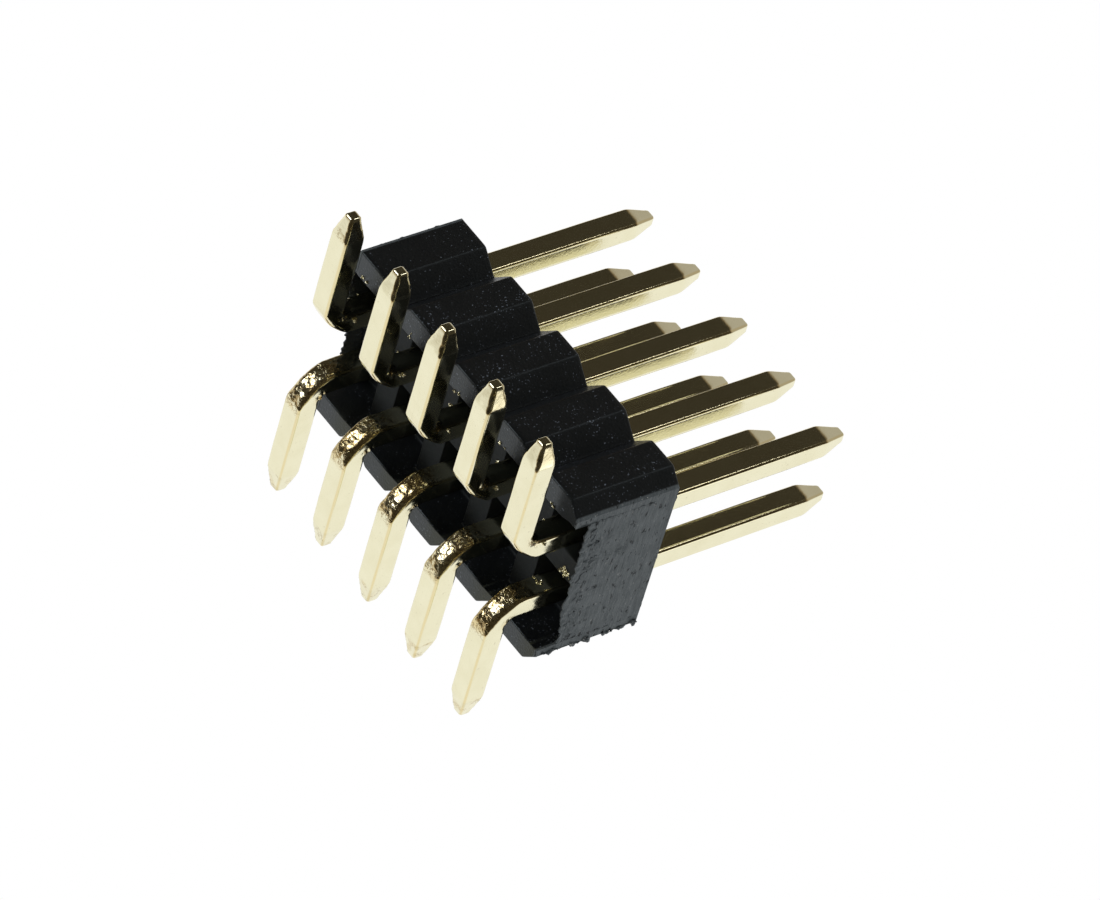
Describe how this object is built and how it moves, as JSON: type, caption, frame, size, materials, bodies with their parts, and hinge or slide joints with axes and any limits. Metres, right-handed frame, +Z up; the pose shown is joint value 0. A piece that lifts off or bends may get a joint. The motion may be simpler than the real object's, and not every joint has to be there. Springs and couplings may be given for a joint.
{
  "type": "pin header strip",
  "caption": "Straight pin header strip for surface mounting: square gold-plated contact pins with bent solder feet in a black insulator notched between positions.",
  "frame": {"origin": "on the board plane, on which the undersides of the feet lie, below the middle of the insulator and halfway between the rows; the middle pins stand 0.135 mm towards -X of it, because the saw took more off the -X end", "axes": "+Z up along the contact pins, X along the rows, Y across the rows; odd pins are at -Y"},
  "size_m": [0.0058, 0.0058, 0.0064],
  "materials": {
    "insulator": "fine-grained moulded black plastic, duller on the sawn ends",
    "pins": "bright pale gold plating over square wire, wrinkled on the outside of the bends"
  },
  "bodies": {
    "root": {"insulator": "insulator", "pin_1": "pins", "pin_2": "pins", "pin_3": "pins", "pin_4": "pins", "pin_5": "pins", "pin_6": "pins", "pin_7": "pins", "pin_8": "pins", "pin_9": "pins", "pin_10": "pins"}
  },
  "joints": []
}
